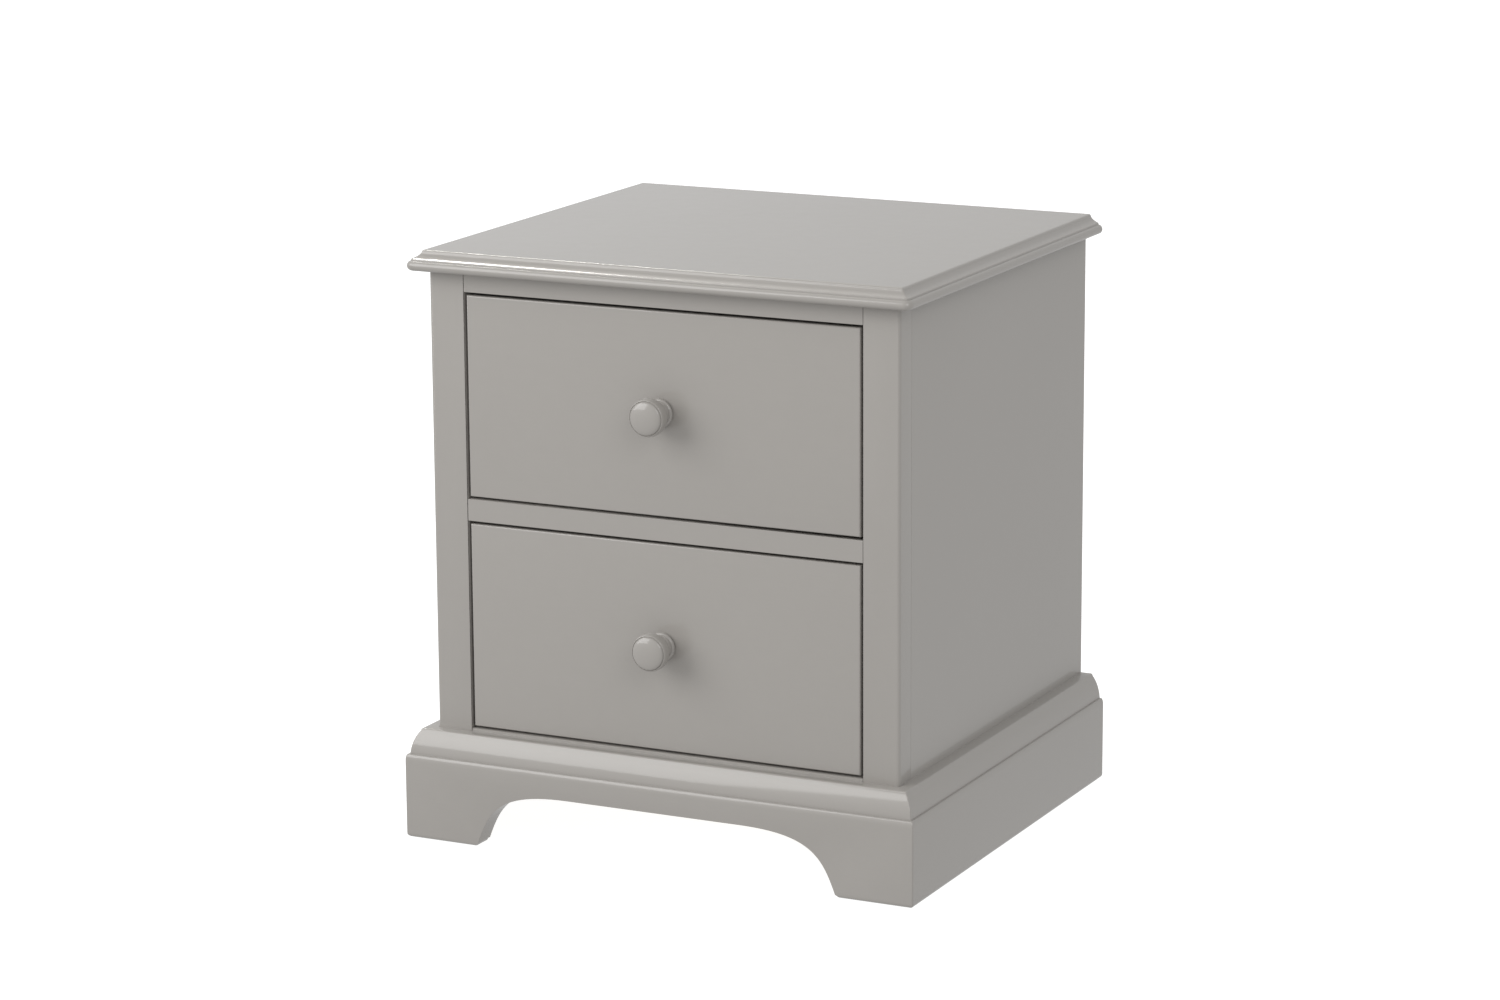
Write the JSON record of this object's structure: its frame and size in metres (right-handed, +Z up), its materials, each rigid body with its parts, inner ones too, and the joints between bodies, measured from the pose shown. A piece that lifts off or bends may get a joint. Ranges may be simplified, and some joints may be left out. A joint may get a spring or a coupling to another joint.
{
  "type": "nightstand with drawers",
  "caption": "Bedside cabinet with inset drawers on telescopic ball-bearing slides, turned knobs, an ogee-edged top and an arched, moulded plinth.",
  "frame": {"origin": "on the floor, at the middle of the overall width and of the overall depth from the knobs' tips to the back", "axes": "+X to the right seen from the front, -Y out of the drawers' fronts, +Z up"},
  "size_m": [0.506, 0.454, 0.543],
  "materials": {
    "grey_lacquer": "warm grey satin lacquer over solid wood and fibreboard",
    "drawer_wood": "clear satin lacquer over light hardwood",
    "drawer_plywood": "clear satin plywood",
    "raw_wood": "unfinished planed wood",
    "back_board": "grey painted fibreboard",
    "zinc_steel": "bright zinc plated sheet",
    "bearing_steel": "polished steel",
    "zinc_screws": "zinc plated",
    "glide_plastic": "moulded nylon"
  },
  "bodies": {
    "case": {"back_panel": "back_board", "back_panel_pins": "zinc_screws", "back_top_rail": "raw_wood", "bottom_panel": "raw_wood", "cabinet_slide_screws": "zinc_screws", "case_screws": "zinc_screws", "corner_blocks": "raw_wood", "floor_glides": "glide_plastic", "front_bottom_rail": "grey_lacquer", "front_middle_rail": "grey_lacquer", "front_top_rail": "grey_lacquer", "left_front_post": "grey_lacquer", "left_side_panel": "grey_lacquer", "lower_left_slide_cabinet_member": "zinc_steel", "lower_left_slide_spacer": "raw_wood", "lower_right_slide_cabinet_member": "zinc_steel", "lower_right_slide_spacer": "raw_wood", "plinth_front": "grey_lacquer", "plinth_left": "grey_lacquer", "plinth_right": "grey_lacquer", "right_front_post": "grey_lacquer", "right_side_panel": "grey_lacquer", "top_panel": "grey_lacquer", "upper_left_slide_cabinet_member": "zinc_steel", "upper_left_slide_spacer": "raw_wood", "upper_right_slide_cabinet_member": "zinc_steel", "upper_right_slide_spacer": "raw_wood"},
    "lower_drawer": {"lower_drawer_back": "drawer_wood", "lower_drawer_bottom": "drawer_plywood", "lower_drawer_box_front": "drawer_wood", "lower_drawer_front": "grey_lacquer", "lower_drawer_front_screws": "zinc_screws", "lower_drawer_knob": "grey_lacquer", "lower_drawer_knob_screw": "zinc_screws", "lower_drawer_left_side": "drawer_wood", "lower_drawer_right_side": "drawer_wood", "lower_drawer_slide_screws": "zinc_screws", "lower_left_slide_drawer_member": "zinc_steel", "lower_right_slide_drawer_member": "zinc_steel"},
    "lower_inner_cages": {"lower_inner_ball_cages": "bearing_steel"},
    "lower_left_middle_slide": {"lower_left_slide_middle_member": "zinc_steel"},
    "lower_outer_cages": {"lower_outer_ball_cages": "bearing_steel"},
    "lower_right_middle_slide": {"lower_right_slide_middle_member": "zinc_steel"},
    "upper_drawer": {"upper_drawer_back": "drawer_wood", "upper_drawer_bottom": "drawer_plywood", "upper_drawer_box_front": "drawer_wood", "upper_drawer_front": "grey_lacquer", "upper_drawer_front_screws": "zinc_screws", "upper_drawer_knob": "grey_lacquer", "upper_drawer_knob_screw": "zinc_screws", "upper_drawer_left_side": "drawer_wood", "upper_drawer_right_side": "drawer_wood", "upper_drawer_slide_screws": "zinc_screws", "upper_left_slide_drawer_member": "zinc_steel", "upper_right_slide_drawer_member": "zinc_steel"},
    "upper_inner_cages": {"upper_inner_ball_cages": "bearing_steel"},
    "upper_left_middle_slide": {"upper_left_slide_middle_member": "zinc_steel"},
    "upper_outer_cages": {"upper_outer_ball_cages": "bearing_steel"},
    "upper_right_middle_slide": {"upper_right_slide_middle_member": "zinc_steel"}
  },
  "joints": [
    {"name": "lower_drawer_slide", "type": "slide", "parent": "case", "child": "lower_drawer", "axis": [0, -1, 0], "range_m": [0, 0.34]},
    {"name": "lower_left_middle_slide_travel", "type": "slide", "parent": "case", "child": "lower_left_middle_slide", "axis": [0, -1, 0], "range_m": [0, 0.1705]},
    {"name": "lower_right_middle_slide_travel", "type": "slide", "parent": "case", "child": "lower_right_middle_slide", "axis": [0, -1, 0], "range_m": [0, 0.1705]},
    {"name": "lower_outer_cages_travel", "type": "slide", "parent": "case", "child": "lower_outer_cages", "axis": [0, -1, 0], "range_m": [0, 0.0855]},
    {"name": "lower_inner_cages_travel", "type": "slide", "parent": "case", "child": "lower_inner_cages", "axis": [0, -1, 0], "range_m": [0, 0.2555]},
    {"name": "upper_drawer_slide", "type": "slide", "parent": "case", "child": "upper_drawer", "axis": [0, -1, 0], "range_m": [0, 0.34]},
    {"name": "upper_left_middle_slide_travel", "type": "slide", "parent": "case", "child": "upper_left_middle_slide", "axis": [0, -1, 0], "range_m": [0, 0.1705]},
    {"name": "upper_right_middle_slide_travel", "type": "slide", "parent": "case", "child": "upper_right_middle_slide", "axis": [0, -1, 0], "range_m": [0, 0.1705]},
    {"name": "upper_outer_cages_travel", "type": "slide", "parent": "case", "child": "upper_outer_cages", "axis": [0, -1, 0], "range_m": [0, 0.0855]},
    {"name": "upper_inner_cages_travel", "type": "slide", "parent": "case", "child": "upper_inner_cages", "axis": [0, -1, 0], "range_m": [0, 0.2555]}
  ],
  "couplings": [
    {"joint": "lower_left_middle_slide_travel", "follows": "lower_drawer_slide", "ratio": 0.5},
    {"joint": "lower_right_middle_slide_travel", "follows": "lower_drawer_slide", "ratio": 0.5},
    {"joint": "lower_outer_cages_travel", "follows": "lower_drawer_slide", "ratio": 0.25},
    {"joint": "lower_inner_cages_travel", "follows": "lower_drawer_slide", "ratio": 0.75},
    {"joint": "upper_left_middle_slide_travel", "follows": "upper_drawer_slide", "ratio": 0.5},
    {"joint": "upper_right_middle_slide_travel", "follows": "upper_drawer_slide", "ratio": 0.5},
    {"joint": "upper_outer_cages_travel", "follows": "upper_drawer_slide", "ratio": 0.25},
    {"joint": "upper_inner_cages_travel", "follows": "upper_drawer_slide", "ratio": 0.75}
  ]
}
